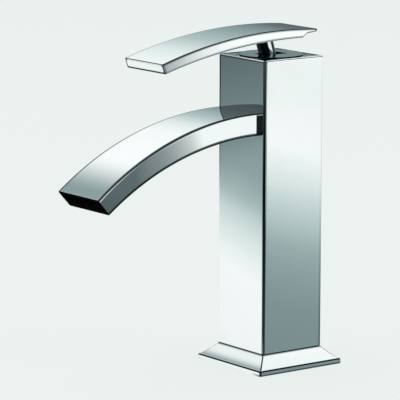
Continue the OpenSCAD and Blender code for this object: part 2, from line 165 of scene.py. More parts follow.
def tone(v):
    for (low, gainLow, a), (high, gainHigh, b) in zip(tints, tints[1:]):
        if v <= high:
            share = (v - low) / (high - low)
            gain = gainLow + (gainHigh - gainLow) * share
            return tuple(v * gain * (x + (y - x) * share) for x, y in zip(a, b))
    return (v, v, v)


def toneRamp(tree, value, reach, stops):
    share = calc(tree, "DIVIDE", value, reach)
    return ramp(tree, share, [(place / reach, tone(v)) for place, v in stops])


# What polished metal sees of the floor. Places are in metres from the column's axis, and tones go with
# places. Two limits are where something fades in, four are where it fades in and out again.
frontField = {
    "reach": 1.6, "way": (0.6, -0.8), "least": -0.02, "most": 0.05, "middle": 0.018,
    "slant": (0.6, 0.9, 3.5, -1.5),
    "tones": ((0.05, 0.86), (0.10, 0.90), (0.31, 0.93), (0.39, 0.84), (0.47, 0.70), (0.56, 0.57),
              (0.65, 0.40), (0.76, 0.30), (0.89, 0.22), (1.18, 0.17), (1.47, 0.13))}
sideField = {
    "reach": 1.8, "way": (0.79, 0.61), "cross": (-0.61, 0.79), "shift": 0.025, "lead": 1.2,
    "tones": ((0.06, 0.22), (0.20, 0.235), (0.27, 0.26), (0.34, 0.29), (0.43, 0.345), (0.51, 0.44),
              (0.60, 0.54), (0.70, 0.68), (0.80, 0.82), (0.90, 0.93), (1.05, 0.92), (1.20, 0.875),
              (1.45, 0.865), (1.54, 0.88), (1.64, 1.0)),
    "dark": 0.12, "fadeScale": 10.0,
    "fade": ((0.0, 0.0), (0.05, 0.07), (0.125, 0.14), (0.222, 0.18), (0.328, 0.28), (0.418, 0.42),
             (0.53, 0.62), (0.60, 0.88), (0.63, 1.0)),
    "farAlong": (0.84, 1.0), "farAcross": (-0.14, -0.033), "meet": (-0.004, 0.014)}
screen = {
    "corner": (0.0225, -0.0225), "way": (1.0, 0.06), "left": (-0.9, 0.3), "shift": 0.10,
    "right": (-1.6, 0.6), "blur": 0.06, "leastBlur": 0.010, "reach": 2.2,
    "tones": ((0.0, 0.10), (0.20, 0.12), (0.45, 0.10), (0.60, 0.08), (0.80, 0.13), (1.00, 0.19),
              (1.50, 0.27), (2.2, 0.36))}
flags = {
    "farEdge": {"bearing": (47, 53, 78, 92), "distance": (0.03, 0.06, 20, 30), "share": 0.35, "tone": 0.06},
    "leftEdge": {"bearing": (150, 165, 204, 211), "distance": (0.72, 0.95, 20, 30), "share": 1.0,
                 "tone": 0.03},
    "screenMiddle": {"bearing": (300, 312, 336, 346), "distance": (0.70, 0.90, 1.15, 1.5), "share": 1.0,
                     "tone": 0.012}}
card = {"across": (-0.44, -0.30, -0.17, -0.14), "distance": (0.46, 0.62, 1.25, 1.40),
        "along": (0.0, 0.1), "tone": 1.0}


def addFlag(tree, field, flag, bearing, distance):
    share = times(tree, bandOf(tree, bearing, *flag["bearing"]), bandOf(tree, distance, *flag["distance"]))
    return mixColour(tree, times(tree, share, flag["share"]), field, tone(flag["tone"]))


def floorReflection(tree):
    x, y, _ = split(tree, addNode(tree, "ShaderNodeNewGeometry").outputs["Position"])
    distance = lengthOf(tree, x, y)
    bearing = bearingOf(tree, x, y)
    # what the face towards the spout sees: bright beside the tap, dark far away, with a slanted border
    f = frontField
    sideways = calc(tree, "MAXIMUM", alongWay(tree, x, y, f["way"]), f["least"])
    sideways = calc(tree, "SUBTRACT", calc(tree, "MINIMUM", sideways, f["most"]), f["middle"])
    slant = times(tree, sideways, between(tree, distance, *f["slant"]))
    front = toneRamp(tree, calc(tree, "ADD", distance, slant), f["reach"], f["tones"])
    # what the face to the right sees: grey beside the tap, bright far away, and dark past its near border
    s = sideField
    along, across = alongWay(tree, x, y, s["way"]), alongWay(tree, x, y, s["cross"])
    turned = calc(tree, "MULTIPLY_ADD", calc(tree, "ADD", across, s["shift"]), s["lead"], along)
    side = toneRamp(tree, turned, s["reach"], s["tones"])
    fade = ramp(tree, calc(tree, "MULTIPLY_ADD", across, s["fadeScale"], 1.0),
                [(place, (v, v, v)) for place, v in s["fade"]])
    farFade = times(tree, between(tree, along, *s["farAlong"]), between(tree, across, *s["farAcross"]))
    side = mixColour(tree, calc(tree, "MAXIMUM", fade, farFade), tone(s["dark"]), side)
    # a narrow flag past that field draws the column's far edge, and one far off to the left draws the
    # upper part of its left edge
    side = addFlag(tree, side, flags["farEdge"], bearing, distance)
    front = addFlag(tree, front, flags["leftEdge"], bearing, distance)
    # the two fields meet behind the tap, and a dark screen stands on the photo's side
    field = mixColour(tree, between(tree, along, *s["meet"]), front, side)
    corner = [calc(tree, "SUBTRACT", value, start) for value, start in zip((x, y), screen["corner"])]
    blur = calc(tree, "MULTIPLY_ADD", distance, screen["blur"], screen["leastBlur"])
    left = calc(tree, "DIVIDE", alongWay(tree, *corner, screen["way"]), blur)
    right = calc(tree, "DIVIDE", calc(tree, "ADD", across, screen["shift"]), blur)
    share = times(tree, between(tree, left, *screen["left"]),
                  between(tree, right, *screen["right"], 1.0, 0.0))
    shade = toneRamp(tree, distance, screen["reach"], screen["tones"])
    shade = addFlag(tree, shade, flags["screenMiddle"], bearing, distance)
    field = mixColour(tree, share, field, shade)
    # a small card near it lights a strip on the lever's neck
    share = times(tree, bandOf(tree, across, *card["across"]), bandOf(tree, distance, *card["distance"]))
    share = times(tree, share, between(tree, along, *card["along"]))
    return mixColour(tree, share, field, tone(card["tone"]))


def byRay(tree, plain, seen, mirror, outKind):
    # one shader for what the camera sees, one for what polished metal sees, and a plain one for the rest
    light = addNode(tree, "ShaderNodeLightPath")
    shiny = calc(tree, "MAXIMUM", light.outputs["Is Glossy Ray"], light.outputs["Is Transmission Ray"])
    for share, shader in ((light.outputs["Is Camera Ray"], seen), (shiny, mirror)):
        mix = addNode(tree, "ShaderNodeMixShader")
        for i, value in enumerate((share, plain.outputs[0], shader.outputs[0])):
            plug(tree, value, mix.inputs[i])
        plain = mix
    plug(tree, plain.outputs[0], addNode(tree, outKind).inputs[0])


def makeFloor():
    mesh = bpy.data.meshes.new("studioFloor")
    h = studio["floorHalf"]
    mesh.from_pydata([(-h, -h, 0), (h, -h, 0), (h, h, 0), (-h, h, 0)], [], [(0, 1, 2, 3)])
    placeObject("studioFloor", mesh)
    material = bpy.data.materials.new("paleFloor")
    material.use_nodes = True
    tree = material.node_tree
    tree.nodes.clear()
    backdrop, shadow = studio["backdrop"], studio["shadowShare"]
    glow = addNode(tree, "ShaderNodeEmission")
    glow.inputs[0].default_value = (*backdrop, 1)
    glow.inputs[1].default_value = 1 - shadow
    matt = addNode(tree, "ShaderNodeBsdfDiffuse")
    matt.inputs[0].default_value = (*[v * shadow for v in backdrop], 1)
    seen = addNode(tree, "ShaderNodeAddShader")
    plug(tree, glow.outputs[0], seen.inputs[0])
    plug(tree, matt.outputs[0], seen.inputs[1])
    plain = addNode(tree, "ShaderNodeBsdfDiffuse")
    plain.inputs[0].default_value = (*[v * studio["floorDim"] for v in backdrop], 1)
    mirror = addNode(tree, "ShaderNodeEmission")
    plug(tree, floorReflection(tree), mirror.inputs[0])
    byRay(tree, plain, seen, mirror, "ShaderNodeOutputMaterial")
    mesh.materials.append(material)


# What polished metal sees of the room: tones by height in degrees, for six directions
roomTones = {
    "nearRight": ((0, 0.10), (10, 0.04), (22, 0.10), (31, 0.88), (60, 0.90), (90, 0.60)),
    "rightSide": ((0, 0.85), (2, 0.40), (5, 0.13), (42, 0.13), (46, 0.97), (90, 0.60)),
    "behind": ((0, 0.09), (5, 0.14), (9, 0.23), (13, 0.31), (18, 0.44), (23, 0.74), (27, 0.93),
               (40, 1.02), (60, 0.97), (90, 0.60)),
    "leftSide": ((0, 0.06), (10, 0.085), (20, 0.13), (28, 0.27), (42, 0.29), (52, 0.80), (90, 0.60)),
    "farLeft": ((0, 0.06), (10, 0.085), (20, 0.13), (27, 0.35), (33, 0.84), (60, 0.90), (90, 0.60)),
    "nearSide": ((0, 0.33), (6, 0.28), (12, 0.12), (26, 0.16), (46, 0.50), (60, 0.85), (90, 0.60))}
# the bearings at which each takes over from the one before: 37 is far right, 143 behind the tap, and the
# photo was taken from 323
roomTurns = (("rightSide", 12, 24), ("behind", 96, 114), ("leftSide", 166, 181), ("farLeft", 181, 194),
             ("nearSide", 225, 258), ("nearRight", 342, 352))


def roomReflection(tree):
    x, y, z = split(tree, addNode(tree, "ShaderNodeTexCoord").outputs["Generated"])
    height = times(tree, calc(tree, "ARCSINE", z), 180 / pi)
    up = calc(tree, "MAXIMUM", height, 0.0)
    bearing = bearingOf(tree, x, y)
    fields = {name: toneRamp(tree, up, 90, stops) for name, stops in roomTones.items()}
    field = fields["nearRight"]
    for name, low, high in roomTurns:
        field = mixColour(tree, between(tree, bearing, low, high), field, fields[name])
    return field


def makeRoom():
    world = bpy.data.worlds.new("paleRoom")
    bpy.context.scene.world = world
    world.use_nodes = True
    tree = world.node_tree
    tree.nodes.clear()
    seen = addNode(tree, "ShaderNodeBackground")
    seen.inputs[0].default_value = (*studio["backdrop"], 1)
    soft = addNode(tree, "ShaderNodeBackground")
    soft.inputs[0].default_value = (*studio["roomColour"], 1)
    soft.inputs[1].default_value = studio["roomLight"]
    mirror = addNode(tree, "ShaderNodeBackground")
    plug(tree, roomReflection(tree), mirror.inputs[0])
    byRay(tree, soft, seen, mirror, "ShaderNodeOutputWorld")


lamps = {"overhead": {"place": (-0.5, -0.8, 2.6), "size": 2.4, "power": 26.0},
         "side": {"place": (1.6, 1.0, 1.5), "size": 1.4, "power": 8.0}}


def makeLamps():
    for name, lamp in lamps.items():
        data = bpy.data.lights.new(name + "Lamp", "AREA")
        data.size = lamp["size"]
        data.energy = lamp["power"]
        obj = placeObject(name + "Lamp", data)
        obj.location = lamp["place"]
        aim = Vector(studio["lampAim"]) - obj.location
        obj.rotation_mode = "QUATERNION"
        obj.rotation_quaternion = aim.to_track_quat("-Z", "Y")
        obj.visible_glossy = False
        obj.visible_camera = False


makeFloor()
makeRoom()
makeLamps()
print("studio made")

# Effects that several finishes share. A pair of limits is where a mark begins and where it is full.
wear = {
    "smudgeScale": 32.0, "smudge": (0.46, 0.78), "hairlineScale": 900.0, "hairline": (0.62, 0.80),
    "hairlineStretch": (1, 1, 0.03), "rippleScale": 26.0, "patchScale": 120.0, "stain": (0.42, 0.72)}


def newGroup(name, inputs, outputs):
    tree = bpy.data.node_groups.new(name, "ShaderNodeTree")
    for label, value in inputs:
        socket = tree.interface.new_socket(label, in_out="INPUT", socket_type="NodeSocketFloat")
        socket.default_value = value
    for label in outputs:
        tree.interface.new_socket(label, in_out="OUTPUT", socket_type="NodeSocketFloat")
    return tree, addNode(tree, "NodeGroupInput"), addNode(tree, "NodeGroupOutput")


def noise(tree, scale, detail, stretch=(1, 1, 1)):
    mapping = addNode(tree, "ShaderNodeMapping")
    plug(tree, addNode(tree, "ShaderNodeTexCoord").outputs["Object"], mapping.inputs[0])
    mapping.inputs["Scale"].default_value = stretch
    node = addNode(tree, "ShaderNodeTexNoise")
    plug(tree, mapping.outputs[0], node.inputs["Vector"])
    plug(tree, scale, node.inputs["Scale"])
    node.inputs["Detail"].default_value = detail
    return node.outputs["Fac"]


def polishMarks():
    # soft smudges and fine hairlines left by wiping, as a change of roughness, and a faint ripple
    tree, given, put = newGroup("polishMarks", (("Roughness", 0.05), ("Smudge", 0.03), ("Hairline", 0.02)),
                                ("Roughness", "Height"))
    smudge = between(tree, noise(tree, wear["smudgeScale"], 3.0), *wear["smudge"])
    hairline = noise(tree, wear["hairlineScale"], 2.0, wear["hairlineStretch"])
    hairline = between(tree, hairline, *wear["hairline"])
    rough = calc(tree, "MULTIPLY_ADD", smudge, given.outputs["Smudge"], given.outputs["Roughness"])
    rough = calc(tree, "MULTIPLY_ADD", hairline, given.outputs["Hairline"], rough)
    plug(tree, rough, put.inputs["Roughness"])
    plug(tree, noise(tree, wear["rippleScale"], 1.0), put.inputs["Height"])
    return tree


def fineGrain():
    # cast or moulded skin: small even bumps, with a little change of gloss
    tree, given, put = newGroup("fineGrain", (("Scale", 1800.0), ("Roughness", 0.5), ("Change", 0.1)),
                                ("Roughness", "Height", "Mask"))
    grain = noise(tree, given.outputs["Scale"], 3.0)
    rough = calc(tree, "MULTIPLY_ADD", calc(tree, "SUBTRACT", grain, 0.5), given.outputs["Change"],
                 given.outputs["Roughness"])
    plug(tree, rough, put.inputs["Roughness"])
    plug(tree, grain, put.inputs["Height"])
    plug(tree, noise(tree, wear["patchScale"], 2.0), put.inputs["Mask"])
    return tree


def turnedRings():
    # grooves that a lathe tool leaves round the upright axis
    tree, given, put = newGroup("turnedRings", (("Pitch", 0.0004), ("Roughness", 0.3), ("Change", 0.12)),
                                ("Roughness", "Height"))
    x, y, z = split(tree, addNode(tree, "ShaderNodeTexCoord").outputs["Object"])
    turns = calc(tree, "DIVIDE", calc(tree, "ADD", lengthOf(tree, x, y), z), given.outputs["Pitch"])
    groove = calc(tree, "PINGPONG", turns, 1.0)
    rough = calc(tree, "MULTIPLY_ADD", groove, given.outputs["Change"], given.outputs["Roughness"])
    plug(tree, rough, put.inputs["Roughness"])
    plug(tree, groove, put.inputs["Height"])
    return tree


def tarnish():
    # stained and clean patches of bare metal, as a mask
    tree, given, put = newGroup("tarnish", (("Scale", 60.0), ("Amount", 0.5)), ("Mask",))
    patch = between(tree, noise(tree, given.outputs["Scale"], 5.0), *wear["stain"])
    plug(tree, times(tree, patch, given.outputs["Amount"]), put.inputs["Mask"])
    return tree


effects = {"polishMarks": polishMarks(), "fineGrain": fineGrain(), "turnedRings": turnedRings(),
           "tarnish": tarnish()}


def placeEffect(tree, name, **values):
    node = addNode(tree, "ShaderNodeGroup", node_tree=effects[name])
    for label, value in values.items():
        node.inputs[label].default_value = value
    return node


def startFinish(name, metallic, roughness, ior=1.5):
    material = bpy.data.materials.new(name)
    material.use_nodes = True
    tree = material.node_tree
    shader = next(n for n in tree.nodes if n.type == "BSDF_PRINCIPLED")
    shader.inputs["Metallic"].default_value = metallic
    shader.inputs["Roughness"].default_value = roughness
    shader.inputs["IOR"].default_value = ior
    return material, tree, shader


def addBump(tree, shader, height, strength, depth):
    bump = addNode(tree, "ShaderNodeBump")
    bump.inputs["Strength"].default_value = strength
    bump.inputs["Distance"].default_value = depth
    plug(tree, height, bump.inputs["Height"])
    plug(tree, bump.outputs["Normal"], shader.inputs["Normal"])


# the edge colour is a painted reflection: the dark of the lines painted along rounded edges
chromeLook = {
    "clean": (0.885, 0.893, 0.893), "wiped": (0.860, 0.872, 0.874), "edge": (0.003, 0.020, 0.022),
    "roughness": 0.022, "smudge": 0.030, "hairline": 0.010, "edgeRoughness": 0.04, "filmScale": 45.0,
    "film": 0.6, "ripple": 0.04, "rippleDepth": 0.0004}


def chromeFinish():
    look = chromeLook
    material, tree, shader = startFinish("polishedChrome", metallic=1.0, roughness=0.05)
    marks = placeEffect(tree, "polishMarks", Roughness=look["roughness"], Smudge=look["smudge"],
                        Hairline=look["hairline"])
    film = placeEffect(tree, "tarnish", Scale=look["filmScale"], Amount=look["film"])
    colour = mixColour(tree, film.outputs["Mask"], look["clean"], look["wiped"])
    # painted reflection: the paintedEdgeShade attribute darkens the colour into thin dark lines along
    # rounded edges, slot walls and the neck's front, standing in for dark surroundings reflected there
    line = addNode(tree, "ShaderNodeAttribute", attribute_name="paintedEdgeShade").outputs["Fac"]
    plug(tree, mixColour(tree, line, colour, look["edge"]), shader.inputs["Base Color"])
    rough = calc(tree, "MULTIPLY_ADD", line, look["edgeRoughness"], marks.outputs["Roughness"])
    plug(tree, rough, shader.inputs["Roughness"])
    addBump(tree, shader, marks.outputs["Height"], look["ripple"], look["rippleDepth"])
    return material


def plainFinish(name, light, dark, roughness, change, scale, bump, depth, ior=1.5):
    material, tree, shader = startFinish(name, 0.0, roughness, ior)
    grain = placeEffect(tree, "fineGrain", Scale=scale, Roughness=roughness, Change=change)
    plug(tree, mixColour(tree, grain.outputs["Mask"], light, dark), shader.inputs["Base Color"])
    plug(tree, grain.outputs["Roughness"], shader.inputs["Roughness"])
    addBump(tree, shader, grain.outputs["Height"], bump, depth)
    return material


turnedLook = {"stainScale": 90.0, "stain": 0.6, "bump": 0.15, "depth": 0.00008}


def turnedFinish(name, clean, stained, pitch, roughness, change):
    look = turnedLook
    material, tree, shader = startFinish(name, 1.0, roughness)
    rings = placeEffect(tree, "turnedRings", Pitch=pitch, Roughness=roughness, Change=change)
    patch = placeEffect(tree, "tarnish", Scale=look["stainScale"], Amount=look["stain"])
    plug(tree, mixColour(tree, patch.outputs["Mask"], clean, stained), shader.inputs["Base Color"])
    plug(tree, rings.outputs["Roughness"], shader.inputs["Roughness"])
    addBump(tree, shader, rings.outputs["Height"], look["bump"], look["depth"])
    return material


finishes = {
    "chrome_shell": chromeFinish(),
    "black_plastic": plainFinish(
        "blackPlastic", (0.0012, 0.0014, 0.0015), (0.0026, 0.0028, 0.003),
        roughness=0.6, change=0.12, scale=2600.0, bump=0.06, depth=0.00004, ior=1.025),
    "white_plastic": plainFinish(
        "ivoryPlastic", (0.80, 0.79, 0.75), (0.72, 0.71, 0.67),
        roughness=0.40, change=0.14, scale=2200.0, bump=0.20, depth=0.00008),
    "seal_rubber": plainFinish(
        "blackRubber", (0.018, 0.018, 0.018), (0.035, 0.034, 0.033),
        roughness=0.78, change=0.2, scale=1500.0, bump=0.35, depth=0.0001),
    "cast_brass": turnedFinish(
        "machinedBrass", (0.83, 0.62, 0.28), (0.56, 0.38, 0.17), pitch=0.0005, roughness=0.26, change=0.14),
    "copper_tube": turnedFinish(
        "drawnCopper", (0.87, 0.52, 0.36), (0.60, 0.30, 0.20), pitch=0.0009, roughness=0.22, change=0.10),
    "plain_steel": turnedFinish(
        "plainSteel", (0.62, 0.62, 0.63), (0.44, 0.44, 0.46), pitch=0.0003, roughness=0.28, change=0.12),
    "disc_ceramic": plainFinish(
        "discCeramic", (0.88, 0.87, 0.83), (0.82, 0.81, 0.77),
        roughness=0.16, change=0.08, scale=3000.0, bump=0.08, depth=0.00005, ior=1.7)}
print("finishes made")

# Shapes are skinned from loops of points, all with the same count, so faces stay clean quads
sideSteps, turnSteps = 8, 6   # along a straight side of a loop and round its corner
hemLimit, hemSpread = 0.2, 1.6   # a hem's greatest share of a side, and its second point's distance
onAxis = 0.0001   # radius of the ring that closes a turned piece
noBends, noHems = (0, 0, 0, 0), ((0, 0),) * 4


def quarterTurn(steps):
    return [pi / 2 * i / steps for i in range(steps + 1)]


quarter = quarterTurn(4)   # angles over a small rounded edge


def boxLoop(halfX, halfY, corner, z, side=sideSteps, turn=turnSteps, hem=0.0):
    # corner is one radius, or four in the order of the signs below, and hem draws two points at each
    # end of a straight side that near to its corners
    radii = corner if isinstance(corner, tuple) else (corner,) * 4
    signs = ((1, 1), (-1, 1), (-1, -1), (1, -1))
    arcs = []
    for k, ((sx, sy), r) in enumerate(zip(signs, radii)):
        x, y = sx * (halfX - r), sy * (halfY - r)
        turns = [radians(90 * (k + i / turn)) for i in range(turn + 1)]
        arcs.append([(x + r * cos(a), y + r * sin(a), z) for a in turns])
    points = []
    for k, arc in enumerate(arcs):
        last, first = Vector(arc[-1]), Vector(arcs[(k + 1) % 4][0])
        shares = [i / side for i in range(1, side)]
        if hem > 0:
            near = min(hem / (first - last).length, hemLimit)
            shares[:2] = near, near * hemSpread
            shares[-2:] = 1 - near * hemSpread, 1 - near
        points += arc + [tuple(last.lerp(first, share)) for share in shares]
    return points


def circleLoop(radius, z):
    guide = boxLoop(1.0, 1.0, 0.25, 0)
    return [(radius * x / hypot(x, y), radius * y / hypot(x, y), z) for x, y, _ in guide]


def drawnIn(radii, inset, share, least):
    # corner radii of a loop that is drawn in by inset
    return tuple(max(r - inset * share, least) for r in radii)


def topEdge(loop, radius, steps=5):
    # loops over a rounded edge, from the flat end face out to the side: loop(inset, drop)
    return [loop(radius * (1 - sin(a)), radius * (1 - cos(a))) for a in quarterTurn(steps)]


def plateau(share):
    # 0 at both ends and 1 over the middle
    return min(1.0, 2.2 * sin(pi * share))


def markEdge(first, share, steps=5):
    # the rings of a rounded edge, with a share of painted edge shade that fades only at its two sides
    return {first + i: share * plateau(i / steps) for i in range(1, steps)}


def lineShare(i, share, bends, hems):
    # painted edge shade (a painted dark reflection) at point i of a loop. share holds for the ring, or for
    # each of its sides, which meet in the corners. bends holds for the corners, and hems for the flat just
    # before and just after each of them.
    corner, step = divmod(i, turnSteps + sideSteps)
    if isinstance(share, tuple):
        share = max(share[corner - 1], share[corner]) if step <= turnSteps else share[corner]
    if step <= turnSteps:
        share = max(share, plateau(step / turnSteps) * bends[corner])
    if step == 0:
        share = max(share, hems[corner][0])
    if step in (turnSteps, turnSteps + 1):
        share = max(share, hems[corner][1])
    if step == turnSteps + sideSteps - 1:
        share = max(share, hems[(corner + 1) % 4][0])
    return share


def skin(name, rings, closed, lines=None, bends=noBends, hems=noHems, angle=32):
    # lines gives some rings a share of painted edge shade, the dark lines that stand in for reflections, or
    # None for a ring without any, and bends and hems hold for every ring, or for each ring where they are
    # lists
    bm = bmesh.new()
    layer = bm.verts.layers.float.new("paintedEdgeShade")
    marked = lines or bends != noBends
    made = []
    for k, ring in enumerate(rings):
        made.append([bm.verts.new(Vector(p) * mm) for p in ring])
        share = (lines or {}).get(k, 0.0)
        if marked and share is not None:
            ringBends = bends[k] if isinstance(bends, list) else bends
            ringHems = hems[k] if isinstance(hems, list) else hems
            for i, v in enumerate(made[-1]):
                v[layer] = lineShare(i, share, ringBends, ringHems)
    pairs = list(zip(made, made[1:])) + ([(made[-1], made[0])] if closed else [])
    for a, b in pairs:
        for i in range(len(a)):
            j = (i + 1) % len(a)
            bm.faces.new((a[i], a[j], b[j], b[i]))
    if not closed:
        bm.faces.new(made[0])
        bm.faces.new(list(reversed(made[-1])))
    bmesh.ops.remove_doubles(bm, verts=bm.verts, dist=1e-7)
    bmesh.ops.recalc_face_normals(bm, faces=bm.faces)
    mesh = bpy.data.meshes.new(name)
    bm.to_mesh(mesh)
    bm.free()
    obj = placeObject(name, mesh)
    settle(obj, angle)
    return obj


def applyAll(obj):
    bpy.context.view_layer.update()
    graph = bpy.context.evaluated_depsgraph_get()
    mesh = bpy.data.meshes.new_from_object(obj.evaluated_get(graph), preserve_all_data_layers=True,
                                           depsgraph=graph)
    old = obj.data
    obj.modifiers.clear()
    obj.data = mesh
    mesh.name = obj.name
    bpy.data.meshes.remove(old)


def settle(obj, angle):
    # smooth shading that keeps flat faces flat and crisp edges crisp
    for face in obj.data.polygons:
        face.use_smooth = True
    obj.data.set_sharp_from_angle(angle=radians(angle))
    even = obj.modifiers.new("evenNormals", "WEIGHTED_NORMAL")
    even.mode = "FACE_AREA"
    even.weight = 100
    even.keep_sharp = True
    applyAll(obj)


def cutAway(obj, cutters, angle=32):
    for cutter in cutters:
        cut = obj.modifiers.new("cut", "BOOLEAN")
        cut.operation = "DIFFERENCE"
        cut.solver = "EXACT"
        cut.object = cutter
    applyAll(obj)
    for cutter in cutters:
        bpy.data.objects.remove(cutter)
    settle(obj, angle)


def turnedPiece(name, outline, place, steps):
    # an outline of (radius, height) points turned about Z, then moved into place
    turns = [2 * pi * i / steps for i in range(steps)]
    rings = [[tuple(place @ Vector((r * cos(a), r * sin(a), z))) for a in turns]
             for r, z in outline]
    return skin(name, rings, False)


def finishPiece(obj, body, slotName, *nodes):
    obj.data.materials.clear()
    obj.data.materials.append(finishes[slotName])
    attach(obj, bodies[body])
    if nodes:
        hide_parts(*nodes)


# Column. Its corners and hems come as right, far, left and near, and farLines and leftLines are the
# painted edge shade on ring after ring, down over the top edge: dark lines painted in for reflections.
column = {
    "half": 22.9, "corner": (0.8, 0.8, 0.8, 1.65), "cornerLeast": 0.3, "bottom": 10.8, "top": 194.0,
    "edge": 0.7, "cavity": 19.5, "cavityCorner": 0.4, "cavityLift": 0.2, "seat": 163.0, "bore": 17.7,
    "thread": 182.5, "nut": 20.0, "ledge": 190.5, "recess": 21.5, "recessBevel": (0.04, 0.05),
    "topEdge": 0.9, "rimBevel": (0.02, 0.03), "sink": 0.3, "middle": 115.0, "hem": 0.8, "footLine": 0.95,
    "lineWidth": 0.45, "recessLines": (0.9, 0.9, 0.5, 0.2), "rimLines": (1.0, 1.0, 1.0, 0.0),
    "farLines": (1.0, 1.0, 0.5, 0.0, 0.1, 0.3, 0.0), "leftLines": (1.0, 1.0, 0.4, 0.0, 0.1, 0.8, 0.6),
    "topCorners": (0.1, 0.2, 0.95, 0.86), "topHems": ((0, 0), (0, 0), (0, 0.9), (0, 0)),
    "middleCorners": (0.3, 0.2, 0.15, 1.0), "middleHems": ((0.05, 0), (0, 0), (0, 0.05), (0, 0)),
    "footCorners": (0.9, 0.2, 0.1, 0.84), "footHems": ((0.5, 0), (0, 0), (0, 0), (0, 0))}


def makeColumn():
    c = column
    plate = c["top"] - c["sink"]

    def outer(inset, z):
        radii = drawnIn(c["corner"], inset, 0.5, c["cornerLeast"])
        return boxLoop(c["half"] - inset, c["half"] - inset, radii, z, hem=c["hem"])

    def atTop(inset, drop):
        return outer(inset, c["top"] - drop)

    rings = [boxLoop(c["cavity"], c["cavity"], c["cavityCorner"], z)
             for z in (c["bottom"] + c["cavityLift"], c["seat"])]
    out, drop = c["recessBevel"]
    rings += [circleLoop(radius, z) for radius, z in (
        (c["bore"], c["seat"]), (c["bore"], c["thread"]), (c["nut"], c["thread"]), (c["nut"], c["ledge"]),
        (c["recess"], c["ledge"]), (c["recess"], plate - drop), (c["recess"] + out, plate))]
    first = len(rings)
    # the corners of the top plate lie a little below the rim, and the rim's inner wall gets a painted dark
    # line of shade
    out, drop = c["rimBevel"]
    rings += [atTop(c["topEdge"] + out, c["sink"]), atTop(c["topEdge"], drop)]
    rings += topEdge(atTop, c["topEdge"])
    rings += [atTop(0, c["topEdge"] + c["lineWidth"] * i) for i in (1, 2)]
    bends = [noBends] * (first + 1) + [c["topCorners"]] * (len(rings) - first - 1)
    hems = [noHems] * (first + 6) + [c["topHems"]] * (len(rings) - first - 6)
    rings.append(outer(0, c["middle"]))
    foot = len(rings)
    rings += reversed(topEdge(lambda inset, rise: outer(inset, c["bottom"] + rise), c["edge"]))
    bends += [c["middleCorners"]] + [c["footCorners"]] * (len(rings) - foot)
    hems += [c["middleHems"]] + [c["footHems"]] * (len(rings) - foot)
    # painted reflection: dark lines along the foot edge, the recess wall and the rim, and by the corners
    # and hems down the column
    lines = {**markEdge(foot, c["footLine"]), first - 2: c["recessLines"], first + 1: c["rimLines"]}
    for i, (far, left) in enumerate(zip(c["farLines"], c["leftLines"])):
        lines[first + 2 + i] = (far, far, left, 0.0)
    shell = skin("columnShell", rings, True, lines, bends, hems)
    finishPiece(shell, "still", "chrome_shell", "column")


makeColumn()
print("column made")

# Base plinth: an upright rim, a hollowed skirt with mitred corners, and a flat top under the column
plinth = {
    "half": 32.0, "height": 10.8, "rim": 3.45, "topHalf": 22.9, "topInset": 0.2, "topDrop": 0.02,
    "corner": (0.7, 0.7, 0.7, 1.3), "cornerLeast": 0.25, "skirtCorner": (0.3, 0.4), "rimEdge": 1.05,
    "sag": 0.3, "skirtOut": 0.15, "skirtDrop": 0.1, "skirtSteps": 10, "mitre": 0.75, "mitreFade": 6,
    "topLine": 0.9, "rimLine": 1.0, "cornerLine": 0.95, "footRings": (1.3, 0.8, 0.3),
    "footLines": (0.2, 0.2, 0.05, 0.8), "footEdge": 0.3, "hole": 16.2, "sealOuter": 29.1, "sealInner": 20.9,
    "sealDepth": 1.2, "sealCorner": 0.3, "screwPlace": 13.7179, "screwHead": 3.1, "headDepth": 0.3,
    "screwHole": 1.7, "countersink": 1.9, "cutPast": 1.0, "sinkSteps": 32, "crisp": 22}


def skirtPoint(share):
    # the hollow between the rim's inner edge and the top, as (half width, height)
    p = plinth
    x0, z0 = p["half"] - p["rimEdge"], p["rim"]
    x1, z1 = p["topHalf"] + p["skirtOut"], p["height"] - p["skirtDrop"]
    dx, dz = x1 - x0, z1 - z0
    chord = hypot(dx, dz)
    dip = 4 * p["sag"] * share * (1 - share)
    return x0 + dx * share - dip * dz / chord, z0 + dz * share + dip * dx / chord


